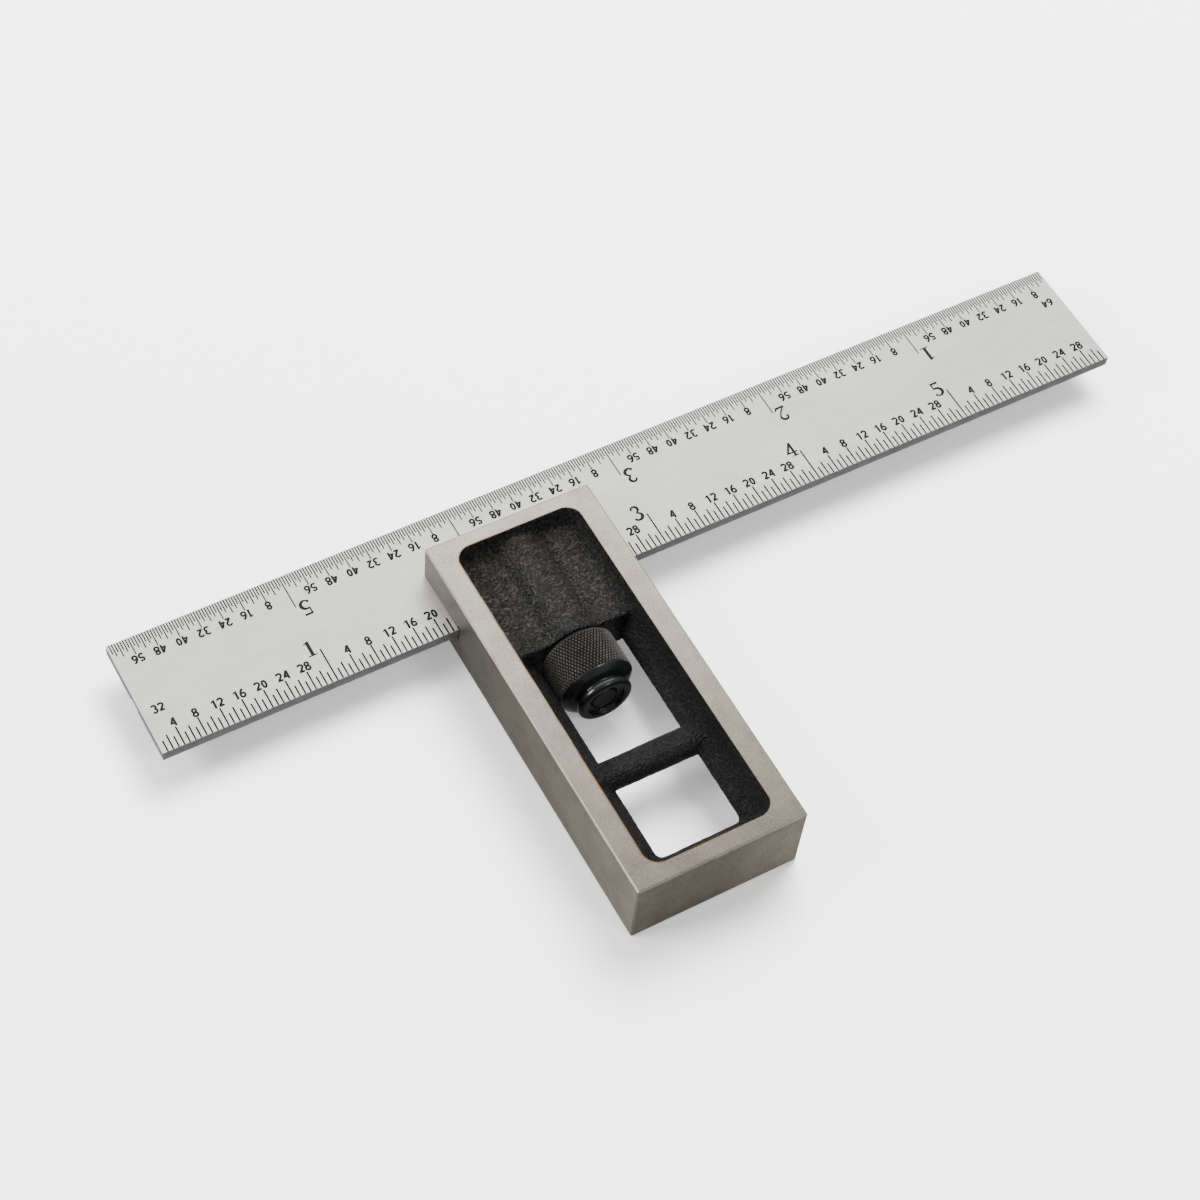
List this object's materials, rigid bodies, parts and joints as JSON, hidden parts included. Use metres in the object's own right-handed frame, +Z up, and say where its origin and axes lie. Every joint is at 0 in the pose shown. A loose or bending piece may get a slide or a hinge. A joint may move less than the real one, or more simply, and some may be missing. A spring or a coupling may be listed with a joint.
{
  "type": "double square",
  "caption": "Double square: a slotted cast head with a windowed pocket that clamps a thin sliding graduated blade at a right angle by a knurled nut.",
  "frame": {"origin": "middle of the bottom face of the head, on the plane that it lies on", "axes": "+X along the blade towards its longer side as shown, +Y towards the slotted end of the head, +Z up, square to the blade's graduated face"},
  "size_m": [0.1524, 0.0673, 0.012],
  "materials": {
    "head_iron": "satin",
    "blade_steel": "satin",
    "bolt_black": "satin",
    "spring_steel": "satin",
    "nut_black": "satin"
  },
  "bodies": {
    "head": {"head": "head_iron"},
    "blade": {"blade": "blade_steel"},
    "lock_bolt": {"lock_bolt": "bolt_black"},
    "spring": {"spring": "spring_steel"},
    "knurled_nut": {"knurled_nut": "nut_black"}
  },
  "joints": [
    {"name": "blade_slide", "type": "slide", "parent": "head", "child": "blade", "axis": [1, 0, 0], "range_m": [-0.0836, 0.0434]},
    {"name": "bolt_release", "type": "slide", "parent": "head", "child": "lock_bolt", "axis": [0, 1, 0], "range_m": [0, 0.0003]},
    {"name": "nut_back_off", "type": "slide", "parent": "lock_bolt", "child": "spring", "axis": [0, -1, 0], "range_m": [0, 0.0008], "deforming": ["spring"]},
    {"name": "nut_turn", "type": "hinge", "parent": "spring", "child": "knurled_nut", "pos_m": [0, 0.005, 0.0057], "axis": [0, 1, 0], "range_deg": [0, 360]}
  ],
  "couplings": [
    {"joint": "nut_turn", "follows": "nut_back_off", "rad_per_m": 7854}
  ]
}
